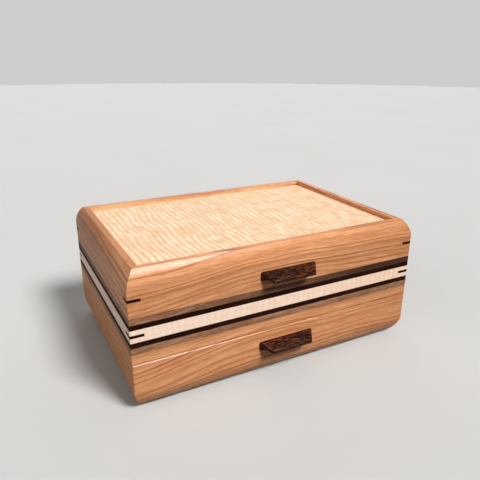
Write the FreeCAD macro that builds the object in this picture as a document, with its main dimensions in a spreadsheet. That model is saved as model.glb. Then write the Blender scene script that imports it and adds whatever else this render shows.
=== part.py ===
"""Jewelry chest with a hinged lid and one full-width drawer.

Millimetres. +X is the chest's right, -Y its front, +Z up. The origin lies on
the table, at the centre of the footprint of the whole chest, its pulls and
hinge barrels included.
"""

import FreeCAD, Part
import Sketcher
import math
import os

document = FreeCAD.newDocument("JewelryChest")
sheet = document.addObject("Spreadsheet::Sheet", "Sizes")

DRIVING_SIZES = [
    ("case_width", 356.0, "outer width of the case"),
    ("case_depth", 246.0, "outer depth of the case"),
    ("wall", 16.0, "thickness of the case and lid boards"),
    ("foot_height", 3.0, "foot pads below the case"),
    ("foot_radius", 9.0, "foot pads"),
    ("foot_margin", 7.0, "between a foot pad and the inner faces of the case"),
    ("drawer_front_height", 53.4, "height of the drawer front"),
    ("drawer_reveal", 1.4, "gap over and behind the drawer front"),
    ("mitre_reveal", 0.4, "gap beside each mitred end of the drawer front"),
    ("front_rail_height", 11.0, "cherry strip over the drawer"),
    ("walnut_height", 7.3, "each walnut strip"),
    ("wenge_height", 5.8, "each wenge strip"),
    ("maple_height", 13.7, "maple band"),
    ("rim_height", 6.6, "cherry strip under the lid line"),
    ("lid_gap", 0.4, "gap between the rim and the lid"),
    ("lid_height", 39.6, "height of the lid rails"),
    ("round_height", 23.0, "height of the large rounding of the outer edges"),
    ("round_inset", 9.3, "how far that rounding steps in at its arris"),
    ("fine_bevel", 0.1, "bevel on the edges at the lid line and under the front rail"),
    ("drawer_bevel", 0.8, "bevel on the top edge of the drawer front"),
    ("corner_bevel", 0.4, "bevel on the upright corners"),
    ("foot_bevel", 0.5, "bevel at the bottom of the foot pads"),
    ("panel_recess", 5.5, "lid panel's top below the top of the lid rails"),
    ("panel_thickness", 7.0, "lid panel"),
    ("panel_groove", 5.0, "depth of the grooves for the panels"),
    ("panel_gap", 0.5, "room for a panel to swell in its groove"),
    ("key_thickness", 3.2, "keys across the mitres"),
    ("lid_key_leg", 13.2, "length of a lid key on either face of its corner"),
    ("band_key_leg", 14.4, "the same for a key in the maple band"),
    ("lid_key_drop", 28.4, "from the lid's top to the middle of its keys"),
    ("base_thickness", 6.0, "base panel"),
    ("base_rise", 5.0, "base panel above the bottom edge of the case"),
    ("floor_thickness", 5.0, "floor of the upper compartment"),
    ("lining_thickness", 1.6, "suede-covered linings"),
    ("lining_gap", 0.5, "gap around the linings"),
    ("divider_thickness", 6.0, "dividers of the upper compartment"),
    ("divider_drop", 10.0, "tops of these dividers below the rim"),
    ("divider_gap", 0.3, "gap at the ends of all dividers"),
    ("back_row_depth", 84.0, "depth of the cells behind the long divider"),
    ("ring_cell_width", 102.0, "width of the middle cell that holds the rolls"),
    ("roll_gap", 0.4, "between neighbouring ring rolls"),
    ("runner_width", 14.0, "strips that the drawer slides on"),
    ("runner_thickness", 2.0, "strips that the drawer slides on"),
    ("running_gap", 0.2, "between the drawer and its strips"),
    ("drawer_side_gap", 0.6, "between the drawer and the case sides"),
    ("drawer_back_gap", 2.0, "between the closed drawer and the case back"),
    ("drawer_wall", 10.0, "thickness of the drawer's sides and back"),
    ("drawer_side_drop", 2.1, "drawer sides below the top of the drawer back"),
    ("drawer_bottom_thickness", 4.0, "drawer bottom"),
    ("drawer_bottom_rise", 4.0, "drawer bottom above the foot of its sides"),
    ("drawer_groove", 4.0, "depth of the grooves for the drawer bottom"),
    ("drawer_divider_thickness", 5.0, "dividers of the drawer"),
    ("drawer_divider_drop", 4.4, "tops of these dividers below the drawer sides"),
    ("drawer_cell_width", 104.0, "width of the drawer's middle cells"),
    ("stop_width", 60.0, "drawer stop"),
    ("stop_depth", 36.0, "drawer stop, behind the front rail"),
    ("stop_height", 6.0, "drawer stop, below the compartment floor"),
    ("hinge_inset", 68.0, "from an end of the chest to the middle of a hinge"),
    ("leaf_length", 45.0, "hinge leaf along the back"),
    ("leaf_width", 11.0, "hinge leaf into the board"),
    ("leaf_thickness", 1.5, "hinge leaf"),
    ("knuckle_radius", 2.3, "hinge barrel"),
    ("knuckle_gap", 0.15, "between neighbouring knuckles"),
    ("barrel_gap", 0.2, "between the hinge barrel and the back of the chest"),
    ("hinge_pin_radius", 1.1, "hinge pin"),
    ("pin_running_gap", 0.05, "between the pin and the turning knuckle"),
    ("hinge_screw_radius", 1.2, "shank of the hinge screws"),
    ("hinge_screw_head", 2.4, "radius of the hinge screws' heads"),
    ("hinge_screw_length", 10.0, "hinge screws"),
    ("pull_width", 70.0, "pull where it meets the wood"),
    ("pull_lip_width", 52.0, "pull at its lip"),
    ("pull_reach", 15.3, "pull from the wood to its lip"),
    ("pull_height", 10.0, "pull where it meets the wood"),
    ("pull_flat", 3.6, "level part of the pull's top"),
    ("pull_foot", 2.0, "level strip under the pull, against the wood"),
    ("pull_slope_drop", 6.4, "from the pull's top to the top of its lip"),
    ("pull_lip", 3.2, "thickness of the pull's lip"),
    ("pull_lip_foot", 2.0, "level strip under the pull, behind its lip"),
    ("pull_hollow", 2.2, "depth of the hollow under the pull"),
    ("pull_rounding", 2.4, "rounding on the pull's upper edges"),
    ("pull_easing", 1.0, "rounding on the edges under the pull"),
    ("lid_pull_drop", 26.6, "from the lid's top to the top of its pull"),
    ("drawer_pull_drop", 12.6, "from the drawer front's top to its pull"),
    ("pull_screw_radius", 1.8, "shank of the pull screws"),
    ("pull_screw_head", 3.6, "radius of the pull screws' heads"),
    ("pull_screw_bite", 5.0, "length of the pull screws inside the pull"),
    ("pull_screw_spacing", 36.0, "between the two screws of a pull"),
]
RING_ROLL_COUNT = 7
CUT_MARGIN = 2.0
VOLUME_TOLERANCE = 1e-6
POINT_TOLERANCE = 1e-4
SMOOTH_ANGLE = 0.01
SIDES = ("front", "right", "back", "left")


class Size:
    """A length: its value now, and the formula that ties it to the sheet."""

    def __init__(self, value, formula):
        self.value = float(value)
        self.formula = formula

    def __add__(self, other):
        other = as_size(other)
        return Size(self.value + other.value, f"({self.formula} + {other.formula})")

    def __sub__(self, other):
        other = as_size(other)
        return Size(self.value - other.value, f"({self.formula} - {other.formula})")

    def __mul__(self, other):
        other = as_size(other)
        return Size(self.value * other.value, f"({self.formula} * {other.formula})")

    def __truediv__(self, other):
        other = as_size(other)
        return Size(self.value / other.value, f"({self.formula} / {other.formula})")

    def __radd__(self, other):
        return as_size(other) + self

    def __rsub__(self, other):
        return as_size(other) - self

    def __rmul__(self, other):
        return as_size(other) * self

    def __neg__(self):
        return Size(-self.value, f"(-1 * {self.formula})")


def as_size(number):
    """Return a plain number as a Size, and a Size as it is."""
    if isinstance(number, Size):
        return number
    return Size(number, repr(float(number)))


def arc_radius(chord_squared, rise):
    """Return the radius of an arc from its chord's square and its rise."""
    return chord_squared / (8 * rise) + rise / 2


def fill_sheet():
    """Write the driving sizes to the sheet and return them by name."""
    lengths = {}
    for row, (name, value, note) in enumerate(DRIVING_SIZES, start=1):
        sheet.set(f"A{row}", name)
        sheet.set(f"B{row}", str(value))
        sheet.set(f"C{row}", note)
        sheet.setAlias(f"B{row}", name)
        lengths[name] = Size(value, f"Sizes.{name}")
    document.recompute()
    return lengths


class ChestSizes:
    """The driving sizes as attributes, and those that follow from them."""

    def __init__(self, driving):
        self.__dict__.update(driving)
        self.barrel_offset = self.knuckle_radius + self.barrel_gap
        back_reach = self.barrel_offset + self.knuckle_radius
        self.mid_y = (self.pull_reach - back_reach) / 2
        self.front_y = self.mid_y - self.case_depth / 2
        self.back_y = self.mid_y + self.case_depth / 2
        self.inner_width = self.case_width - 2 * self.wall
        self.inner_depth = self.case_depth - 2 * self.wall
        self.inner_front_y = self.front_y + self.wall
        self.inner_back_y = self.back_y - self.wall
        self.round_radius = arc_radius(4 * self.round_height * self.round_height, self.round_inset)

        self.rail_z = self.foot_height + self.drawer_front_height + self.drawer_reveal
        self.lower_walnut_z = self.rail_z + self.front_rail_height
        self.lower_wenge_z = self.lower_walnut_z + self.walnut_height
        self.maple_z = self.lower_wenge_z + self.wenge_height
        self.upper_wenge_z = self.maple_z + self.maple_height
        self.upper_walnut_z = self.upper_wenge_z + self.wenge_height
        self.rim_z = self.upper_walnut_z + self.walnut_height
        self.rim_top = self.rim_z + self.rim_height
        self.lid_z = self.rim_top + self.lid_gap
        self.lid_top = self.lid_z + self.lid_height
        self.lower_board_height = self.lower_walnut_z - self.foot_height
        self.hinge_x = self.case_width / 2 - self.hinge_inset
        self.hinge_y = self.back_y + self.barrel_offset
        self.hinge_z = self.rim_top + self.lid_gap / 2

        self.base_top = self.foot_height + self.base_rise + self.base_thickness
        self.floor_rise = (self.front_rail_height - self.floor_thickness) / 2
        self.floor_z = self.rail_z + self.floor_rise
        self.floor_top = self.floor_z + self.floor_thickness
        self.divider_z = self.floor_top + self.lining_thickness
        self.divider_height = self.rim_top - self.divider_drop - self.divider_z
        self.front_row_depth = self.inner_depth - self.back_row_depth - self.divider_thickness
        self.long_divider_y = self.inner_front_y + self.front_row_depth

        self.drawer_z = self.base_top + self.runner_thickness + self.running_gap
        self.drawer_width = self.inner_width - 2 * self.drawer_side_gap
        self.drawer_inner_width = self.drawer_width - 2 * self.drawer_wall
        self.drawer_depth = self.inner_depth - self.drawer_back_gap
        self.drawer_inner_depth = self.drawer_depth - self.drawer_wall
        self.drawer_back_height = self.rail_z - self.drawer_reveal - self.drawer_z
        self.drawer_side_height = self.drawer_back_height - self.drawer_side_drop
        self.drawer_bottom_z = self.drawer_z + self.drawer_bottom_rise
        self.drawer_lining_z = self.drawer_bottom_z + self.drawer_bottom_thickness
        self.drawer_divider_z = self.drawer_lining_z + self.lining_thickness
        drawer_divider_top = self.drawer_z + self.drawer_side_height - self.drawer_divider_drop
        self.drawer_divider_height = drawer_divider_top - self.drawer_divider_z


chest = ChestSizes(fill_sheet())
nodes = {}


# Helpers that tie shapes to the sheet


def tie(target, property_name, length):
    """Tie a property to the sheet."""
    target.setExpression(property_name, as_size(length).formula)


def place(piece, x, y, z, turn=0, axis=(0, 0, 1)):
    """Put a piece at a point that follows the sheet, turned about an axis."""
    point = FreeCAD.Vector(as_size(x).value, as_size(y).value, as_size(z).value)
    piece.Placement = FreeCAD.Placement(point, FreeCAD.Rotation(FreeCAD.Vector(*axis), turn))
    tie(piece, "Placement.Base.x", x)
    tie(piece, "Placement.Base.y", y)
    tie(piece, "Placement.Base.z", z)


def keep(name, piece):
    """Name a finished piece and put it on the list of nodes."""
    piece.Label = name
    nodes[name] = piece


def new_body(name):
    """Start an empty body."""
    return document.addObject("PartDesign::Body", name)


def new_sketch(body, plane_role, lift):
    """Start a sketch parallel to one of the body's own planes."""
    planes = [feature for feature in body.Origin.OriginFeatures if feature.Role == plane_role]
    sketch = body.newObject("Sketcher::SketchObject", body.Name + "_sketch")
    sketch.AttachmentSupport = (planes[0], "")
    sketch.MapMode = "FlatFace"
    offset = FreeCAD.Vector(0, 0, as_size(lift).value)
    sketch.AttachmentOffset = FreeCAD.Placement(offset, FreeCAD.Rotation())
    tie(sketch, "AttachmentOffset.Base.z", lift)
    return sketch


def fix_point(sketch, edge, end, x, y):
    """Hold one end of a sketch edge at a point that follows the sheet."""
    for kind, length in (("DistanceX", as_size(x)), ("DistanceY", as_size(y))):
        distance = Sketcher.Constraint(kind, -1, 1, edge, end, length.value)
        index = sketch.addConstraint(distance)
        tie(sketch, f"Constraints[{index}]", length)


def arc_between(start, end, radius):
    """Return the short arc from start to end.

    Its centre is on the left of that way, or on the right for a negative
    radius.
    """
    chord = end - start
    across = FreeCAD.Vector(-chord.y, chord.x, 0)
    across.normalize()
    reach = math.sqrt(radius * radius - chord.Length * chord.Length / 4)
    centre = (start + end) * 0.5 + across * math.copysign(reach, radius)
    circle = Part.Circle(centre, FreeCAD.Vector(0, 0, 1), abs(radius))
    first, last = (start, end) if radius > 0 else (end, start)
    angles = [math.atan2(point.y - centre.y, point.x - centre.x) for point in (first, last)]
    return Part.ArcOfCircle(circle, angles[0], angles[1])


def draw_edge(sketch, start, end, radius):
    """Draw one edge; return its number and which of its ends is the start."""
    if radius is None:
        edge = sketch.addGeometry(Part.LineSegment(start, end))
        return edge, 1, 2
    edge = sketch.addGeometry(arc_between(start, end, radius.value))
    size = radius if radius.value > 0 else -radius
    index = sketch.addConstraint(Sketcher.Constraint("Radius", edge, size.value))
    tie(sketch, f"Constraints[{index}]", size)
    return (edge, 1, 2) if radius.value > 0 else (edge, 2, 1)


def draw_loop(sketch, corners):
    """Draw one closed outline.

    A corner is (x, y), or (x, y, radius) where the edge that starts there is
    an arc.
    """
    points = [FreeCAD.Vector(as_size(c[0]).value, as_size(c[1]).value, 0) for c in corners]
    edges = []
    for index, corner in enumerate(corners):
        radius = corner[2] if len(corner) == 3 else None
        following = points[(index + 1) % len(points)]
        edges.append(draw_edge(sketch, points[index], following, radius))
    for index, corner in enumerate(corners):
        edge, start, end = edges[index]
        next_edge, next_start, _ = edges[(index + 1) % len(edges)]
        sketch.addConstraint(Sketcher.Constraint("Coincident", edge, end, next_edge, next_start))
        fix_point(sketch, edge, start, corner[0], corner[1])


def rectangle(x_low, x_high, y_low, y_high):
    """Return the corners of a rectangle."""
    return [(x_low, y_low), (x_high, y_low), (x_high, y_high), (x_low, y_high)]


def pad(body, plane_role, corners, length, both_ways=False):
    """Raise an outline drawn on one of the body's planes to a solid."""
    sketch = new_sketch(body, plane_role, 0)
    draw_loop(sketch, corners)
    feature = body.newObject("PartDesign::Pad", body.Name + "_pad")
    feature.Profile = sketch
    tie(feature, "Length", length)
    if both_ways:
        feature.SideType = "Symmetric"


def cut_through(body, plane_role, loops):
    """Cut outlines out of the body, right through it both ways."""
    sketch = new_sketch(body, plane_role, 0)
    for corners in loops:
        draw_loop(sketch, corners)
    feature = body.newObject("PartDesign::Pocket", body.Name + "_pocket")
    feature.Profile = sketch
    feature.Type = "ThroughAll"
    feature.SideType = "Symmetric"
    return feature


def cut_to_depth(body, plane_role, loops, depth, lift, along_normal=False):
    """Cut outlines out of the body to a depth, from a lifted plane."""
    sketch = new_sketch(body, plane_role, lift)
    for corners in loops:
        draw_loop(sketch, corners)
    feature = body.newObject("PartDesign::Pocket", body.Name + "_pocket")
    feature.Profile = sketch
    tie(feature, "Length", depth)
    feature.Reversed = along_normal


def turned(name, profile):
    """Spin a profile of (radius, height) corners about the body's Z axis."""
    body = new_body(name)
    sketch = new_sketch(body, "XZ_Plane", 0)
    draw_loop(sketch, profile)
    feature = body.newObject("PartDesign::Revolution", name + "_turned")
    feature.Profile = sketch
    feature.ReferenceAxis = (sketch, ["V_Axis"])
    feature.Angle = 360
    return body


def without(name, piece, tools):
    """Cut the shapes of other pieces out of a piece."""
    for index, tool in enumerate(tools):
        cut = document.addObject("Part::Cut", f"{name}_cut_{index}")
        cut.Base = piece
        cut.Tool = tool
        piece = cut
    return piece


def group(name, members):
    """Keep several separate solids as one node."""
    compound = document.addObject("Part::Compound", name + "_group")
    compound.Links = members
    keep(name, compound)
    return compound


def box(name, size, corner):
    """Make a plain box from its size and its lowest corner."""
    piece = document.addObject("Part::Box", name)
    for property_name, length in zip(("Length", "Width", "Height"), size):
        tie(piece, property_name, length)
    place(piece, *corner)
    return piece


def rod(name, radius, length, start_x, y, z):
    """Make a round bar that runs along +X."""
    piece = document.addObject("Part::Cylinder", name)
    tie(piece, "Radius", radius)
    tie(piece, "Height", length)
    place(piece, start_x, y, z, 90, (0, 1, 0))
    return piece


# Boards that meet in mitres around the chest
# Each is drawn in its own frame: X along the board, Y from its outer face
# inwards, Z up from its lower edge.


def place_board(piece, side, z):
    """Turn a board to its side of the chest and set its height."""
    spots = {
        "front": (0, chest.front_y, 0),
        "right": (chest.case_width / 2, chest.mid_y, 90),
        "back": (0, chest.back_y, 180),
        "left": (-chest.case_width / 2, chest.mid_y, 270),
    }
    x, y, turn = spots[side]
    place(piece, x, y, z, turn)


def mitred_board(name, side, z, height, shortening=0):
    """Make a board with both ends mitred."""
    body = new_body(name)
    length = chest.case_width if side in ("front", "back") else chest.case_depth
    half = length / 2 - shortening
    bevel = chest.corner_bevel
    plan = [
        (bevel - half, 0),
        (half - bevel, 0),
        (half - bevel / 2, bevel / 2),
        (half - chest.wall, chest.wall),
        (chest.wall - half, chest.wall),
        (bevel / 2 - half, bevel / 2),
    ]
    pad(body, "XY_Plane", plan, height)
    place_board(body, side, z)
    return body


def round_top_edge(body, height):
    """Round a board's outer top edge with an arc that ends on an arris."""
    outline = [
        (0, height - chest.round_height, -chest.round_radius),
        (chest.round_inset, height),
        (chest.round_inset, height + CUT_MARGIN),
        (-CUT_MARGIN, height + CUT_MARGIN),
        (-CUT_MARGIN, height - chest.round_height),
    ]
    cut_through(body, "YZ_Plane", [outline])


def round_bottom_edge(body):
    """Round a board's outer bottom edge in the same way."""
    outline = [
        (0, chest.round_height, chest.round_radius),
        (chest.round_inset, 0),
        (chest.round_inset, -CUT_MARGIN),
        (-CUT_MARGIN, -CUT_MARGIN),
        (-CUT_MARGIN, chest.round_height),
    ]
    cut_through(body, "YZ_Plane", [outline])


def bevel_top_edge(body, height, bevel):
    """Bevel a board's outer top edge a little."""
    outline = [(0, height - bevel), (bevel, height), (0, height)]
    cut_through(body, "YZ_Plane", [outline])


def bevel_bottom_edge(body, bevel):
    """Bevel a board's outer bottom edge a little."""
    outline = [(0, bevel), (bevel, 0), (0, 0)]
    cut_through(body, "YZ_Plane", [outline])


def groove_inner_face(body, low, thickness):
    """Cut a panel groove along a board's inner face."""
    deepest = chest.wall - chest.panel_groove
    outline = rectangle(deepest, chest.wall + CUT_MARGIN, low, low + thickness)
    cut_through(body, "YZ_Plane", [outline])


def hinge_mortises(body, plane_z, upwards):
    """Let both hinge leaves into a back board, from a plane up or down."""
    loops = []
    for side in (-1, 1):
        middle = side * chest.hinge_x
        half = chest.leaf_length / 2
        loops.append(rectangle(middle - half, middle + half, -CUT_MARGIN, chest.leaf_width))
    depth = chest.leaf_thickness + CUT_MARGIN
    cut_to_depth(body, "XY_Plane", loops, depth, plane_z, upwards)


def corner_keys(name, z, leg):
    """Make the four keys that cross the mitres at one height."""
    keys = []
    bevel = chest.corner_bevel
    for x_side in (-1, 1):
        for y_side in (-1, 1):
            key = new_body(f"{name}_{len(keys)}")
            plan = [
                (-x_side * bevel, 0),
                (-x_side * leg, 0),
                (0, -y_side * leg),
                (0, -y_side * bevel),
            ]
            pad(key, "XY_Plane", plan, chest.key_thickness, both_ways=True)
            x = x_side * chest.case_width / 2
            y = chest.mid_y + y_side * chest.case_depth / 2
            place(key, x, y, z)
            keys.append(key)
    return group(name, keys)


# Screws


def countersunk_screw(name, radius, head_radius, length):
    """Make a screw with its flat head at height 0 and its tip below."""
    profile = [
        (0, 0),
        (head_radius, 0),
        (radius, radius - head_radius),
        (radius, radius - length),
        (0, -length),
    ]
    return turned(name, profile)


def hinge_screws(name, z, turn):
    """Make the six screws that hold one pair of hinge leaves."""
    screws = []
    for side in (-1, 1):
        for step in (-1, 0, 1):
            screw = countersunk_screw(
                f"{name}_{len(screws)}",
                chest.hinge_screw_radius,
                chest.hinge_screw_head,
                chest.hinge_screw_length,
            )
            x = side * chest.hinge_x + step * chest.leaf_length / 3
            place(screw, x, chest.back_y - chest.leaf_width / 2, z, turn, (1, 0, 0))
            screws.append(screw)
    return group(name, screws)


def pull_screws(name, z):
    """Make the two screws that hold a pull, driven from inside the wall."""
    screws = []
    for side in (-1, 1):
        screw = countersunk_screw(
            f"{name}_{len(screws)}",
            chest.pull_screw_radius,
            chest.pull_screw_head,
            chest.wall + chest.pull_screw_bite,
        )
        x = side * chest.pull_screw_spacing / 2
        place(screw, x, chest.inner_front_y, z, -90, (1, 0, 0))
        screws.append(screw)
    return group(name, screws)


# Pulls


def pull_profile():
    """Return the outline of a pull's end, from its top edge on the wood."""
    lip_low = chest.pull_slope_drop + chest.pull_lip
    hollow_end = chest.pull_reach - chest.pull_lip_foot
    across = hollow_end - chest.pull_foot
    down = chest.pull_height - lip_low
    hollow_radius = arc_radius(across * across + down * down, chest.pull_hollow)
    return [
        (0, 0),
        (0, -chest.pull_height),
        (-chest.pull_foot, -chest.pull_height, hollow_radius),
        (-hollow_end, -lip_low),
        (-chest.pull_reach, -lip_low),
        (-chest.pull_reach, -chest.pull_slope_drop),
        (-chest.pull_flat, 0),
    ]


def pull(name, top_z, screws):
    """Make a finger pull: a level top that slopes to a lip, hollow beneath."""
    body = new_body(name)
    pad(body, "YZ_Plane", pull_profile(), chest.pull_width, both_ways=True)
    half = chest.pull_width / 2
    lip_half = chest.pull_lip_width / 2
    beyond = -chest.pull_reach - CUT_MARGIN
    loops = []
    for side in (-1, 1):
        slanted_end = [
            (side * half, 0),
            (side * lip_half, -chest.pull_reach),
            (side * lip_half, beyond),
            (side * (half + CUT_MARGIN), beyond),
            (side * (half + CUT_MARGIN), 0),
        ]
        loops.append(slanted_end)
    ends = cut_through(body, "XY_Plane", loops)
    document.recompute()
    over = rounded(body, ends, pull_edges(ends.Shape, True), chest.pull_rounding, name + "_over")
    rounded(body, over, pull_edges(over.Shape, False), chest.pull_easing, name + "_under")
    place(body, 0, chest.front_y, top_z)
    keep(name, without(name, body, [screws]))


def rounded(body, base, edges, radius, name):
    """Round the named edges of a body's last feature."""
    fillet = body.newObject("PartDesign::Fillet", name)
    fillet.Base = (base, edges)
    tie(fillet, "Radius", radius)
    document.recompute()
    return fillet


def pull_edges(shape, upper):
    """Return the names of a pull's sharp edges off the wood, over it or under it."""
    names = []
    for index, edge in enumerate(shape.Edges, start=1):
        middle = edge.valueAt((edge.FirstParameter + edge.LastParameter) / 2)
        normals = []
        for face in shape.ancestorsOfType(edge, Part.Face):
            normals.append(face.normalAt(*face.Surface.parameter(middle)))
        off_wood = min(vertex.Point.y for vertex in edge.Vertexes) < -POINT_TOLERANCE
        sharp = len(normals) == 2 and normals[0].getAngle(normals[1]) > SMOOTH_ANGLE
        over = min(normal.z for normal in normals) > -SMOOTH_ANGLE
        if off_wood and sharp and over == upper:
            names.append(f"Edge{index}")
    return names


# Hinges


def knuckle_spans(upper):
    """Return the start and length of each knuckle of one leaf."""
    third = chest.leaf_length / 3
    if upper:
        return [(chest.knuckle_gap - third / 2, third - 2 * chest.knuckle_gap)]
    return [(-chest.leaf_length / 2, third), (third / 2, third)]


def hinge_leaf(name, middle_x, upper, screws):
    """Make one leaf: a plate let into the wood, and its knuckles."""
    plate_z = chest.lid_z if upper else chest.rim_top - chest.leaf_thickness
    left = middle_x - chest.leaf_length / 2
    plate_size = (chest.leaf_length, chest.leaf_width, chest.leaf_thickness)
    pieces = [box(name + "_plate", plate_size, (left, chest.back_y - chest.leaf_width, plate_z))]
    for number, (start, length) in enumerate(knuckle_spans(upper)):
        x = middle_x + start
        tab_size = (length, chest.barrel_offset, chest.leaf_thickness)
        tab = box(f"{name}_tab_{number}", tab_size, (x, chest.back_y, plate_z))
        knuckle = rod(
            f"{name}_knuckle_{number}",
            chest.knuckle_radius,
            length,
            x,
            chest.hinge_y,
            chest.hinge_z,
        )
        pieces += [tab, knuckle]
    leaf = document.addObject("Part::MultiFuse", name + "_fused")
    leaf.Shapes = pieces
    running_gap = chest.pin_running_gap if upper else 0
    bore = rod(
        name + "_bore",
        chest.hinge_pin_radius + running_gap,
        chest.leaf_length,
        left,
        chest.hinge_y,
        chest.hinge_z,
    )
    keep(name, without(name, leaf, [bore, screws]))


def hinge(side_name, side, lower_screws, upper_screws):
    """Make one butt hinge: two leaves and the pin."""
    middle_x = side * chest.hinge_x
    hinge_leaf(f"hinge_leaf_lower_{side_name}", middle_x, False, lower_screws)
    hinge_leaf(f"hinge_leaf_upper_{side_name}", middle_x, True, upper_screws)
    name = f"hinge_pin_{side_name}"
    left = middle_x - chest.leaf_length / 2
    pin = rod(
        name,
        chest.hinge_pin_radius,
        chest.leaf_length,
        left,
        chest.hinge_y,
        chest.hinge_z,
    )
    keep(name, pin)


# The case


def lower_boards():
    """Make the cherry sides and back, from the bottom edge to the banding."""
    for side, name in (("left", "side_left"), ("right", "side_right"), ("back", "back_board")):
        body = mitred_board(name, side, chest.foot_height, chest.lower_board_height)
        round_bottom_edge(body)
        groove_inner_face(body, chest.base_rise, chest.base_thickness)
        groove_inner_face(body, chest.floor_z - chest.foot_height, chest.floor_thickness)
        keep(name, body)
    rail = mitred_board("front_rail", "front", chest.rail_z, chest.front_rail_height)
    bevel_bottom_edge(rail, chest.fine_bevel)
    groove_inner_face(rail, chest.floor_rise, chest.floor_thickness)
    keep("front_rail", rail)


def dark_strips(name, z, height, tools):
    """Make one dark strip that runs round the case in four lengths."""
    strips = []
    for side in SIDES:
        strip = mitred_board(f"{name}_{side}", side, z, height)
        if side == "back":
            strip = without(f"{name}_{side}", strip, tools)
        strips.append(strip)
    group(name, strips)


def banding(screws):
    """Make the strips and the maple band between the cherry boards."""
    dark_strips("walnut_lower", chest.lower_walnut_z, chest.walnut_height, [])
    dark_strips("wenge_lower", chest.lower_wenge_z, chest.wenge_height, [])
    middle_z = chest.maple_z + chest.maple_height / 2
    keys = corner_keys("band_splines", middle_z, chest.band_key_leg)
    for side in SIDES:
        name = f"maple_band_{side}"
        band = mitred_board(name, side, chest.maple_z, chest.maple_height)
        keep(name, without(name, band, [keys]))
    dark_strips("wenge_upper", chest.upper_wenge_z, chest.wenge_height, [screws])
    dark_strips("walnut_upper", chest.upper_walnut_z, chest.walnut_height, [screws])


def rim(screws):
    """Make the cherry strips up to the lid line."""
    for side in SIDES:
        name = f"rim_{side}"
        body = mitred_board(name, side, chest.rim_z, chest.rim_height)
        bevel_top_edge(body, chest.rim_height, chest.fine_bevel)
        if side == "back":
            hinge_mortises(body, chest.rim_height - chest.leaf_thickness, upwards=True)
            body = without(name, body, [screws])
        keep(name, body)


def case_panels():
    """Make the base panel and the floor of the upper compartment."""
    tongue = chest.panel_groove - chest.panel_gap
    width = chest.inner_width + 2 * tongue
    front = chest.inner_front_y + chest.drawer_reveal
    base_size = (width, chest.inner_back_y + tongue - front, chest.base_thickness)
    base_corner = (-width / 2, front, chest.foot_height + chest.base_rise)
    keep("base_panel", box("base_panel", base_size, base_corner))
    floor_size = (width, chest.inner_depth + 2 * tongue, chest.floor_thickness)
    floor_corner = (-width / 2, chest.inner_front_y - tongue, chest.floor_z)
    keep("compartment_floor", box("compartment_floor", floor_size, floor_corner))


def lining(name, width, depth, z):
    """Lay a thin suede-covered card behind the front wall."""
    gap = chest.lining_gap
    size = (width - 2 * gap, depth - 2 * gap, chest.lining_thickness)
    corner = (gap - width / 2, chest.inner_front_y + gap, z)
    keep(name, box(name, size, corner))


def divider_across(name, x_low, x_high, y, size):
    """Stand a divider along X between two faces."""
    thickness, height, z = size
    gap = chest.divider_gap
    length = x_high - x_low - 2 * gap
    keep(name, box(name, (length, thickness, height), (x_low + gap, y, z)))


def divider_along(name, x, y_low, y_high, size):
    """Stand a divider along Y between two faces."""
    thickness, height, z = size
    gap = chest.divider_gap
    length = y_high - y_low - 2 * gap
    keep(name, box(name, (thickness, length, height), (x, y_low + gap, z)))


def compartment():
    """Line and divide the upper compartment, and lay in the ring rolls."""
    lining("compartment_lining", chest.inner_width, chest.inner_depth, chest.floor_top)
    size = (chest.divider_thickness, chest.divider_height, chest.divider_z)
    half_width = chest.inner_width / 2
    half_cell = chest.ring_cell_width / 2
    front = chest.inner_front_y
    long_y = chest.long_divider_y
    behind = long_y + chest.divider_thickness
    divider_across("divider_long", -half_width, half_width, long_y, size)
    left_x = -half_cell - chest.divider_thickness
    divider_along("divider_front_left", left_x, front, long_y, size)
    divider_along("divider_front_right", half_cell, front, long_y, size)
    middle_x = -chest.divider_thickness / 2
    divider_along("divider_back", middle_x, behind, chest.inner_back_y, size)
    ring_rolls()


def ring_rolls():
    """Lay padded rolls side by side in the middle front cell."""
    pitch = chest.front_row_depth / RING_ROLL_COUNT
    radius = (pitch - chest.roll_gap) / 2
    length = chest.ring_cell_width - 2 * chest.divider_gap
    rolls = []
    for index in range(RING_ROLL_COUNT):
        y = chest.inner_front_y + pitch * (index + 0.5)
        z = chest.divider_z + radius
        rolls.append(rod(f"ring_roll_{index}", radius, length, -length / 2, y, z))
    group("ring_rolls", rolls)


def drawer_carriers():
    """Make the strips that carry the drawer and the block that stops it."""
    y = chest.inner_front_y + chest.drawer_reveal
    depth = chest.inner_back_y - y
    size = (chest.runner_width, depth, chest.runner_thickness)
    left_x = -chest.inner_width / 2
    right_x = chest.inner_width / 2 - chest.runner_width
    for name, x in (("drawer_runner_left", left_x), ("drawer_runner_right", right_x)):
        keep(name, box(name, size, (x, y, chest.base_top)))
    stop_size = (chest.stop_width, chest.stop_depth, chest.stop_height)
    stop_z = chest.floor_z - chest.stop_height
    stop_corner = (-chest.stop_width / 2, chest.inner_front_y, stop_z)
    keep("drawer_stop", box("drawer_stop", stop_size, stop_corner))


def foot_pads():
    """Make four round pads under the base panel, eased at the bottom."""
    top = chest.foot_height + chest.base_rise
    profile = [
        (0, 0),
        (chest.foot_radius - chest.foot_bevel, 0),
        (chest.foot_radius, chest.foot_bevel),
        (chest.foot_radius, top),
        (0, top),
    ]
    inset = chest.foot_margin + chest.foot_radius
    pads = []
    for x_side in (-1, 1):
        for y_side in (-1, 1):
            foot = turned(f"foot_pad_{len(pads)}", profile)
            x = x_side * (chest.inner_width / 2 - inset)
            y = chest.mid_y + y_side * (chest.inner_depth / 2 - inset)
            place(foot, x, y, 0)
            pads.append(foot)
    group("foot_pads", pads)


# The lid


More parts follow.
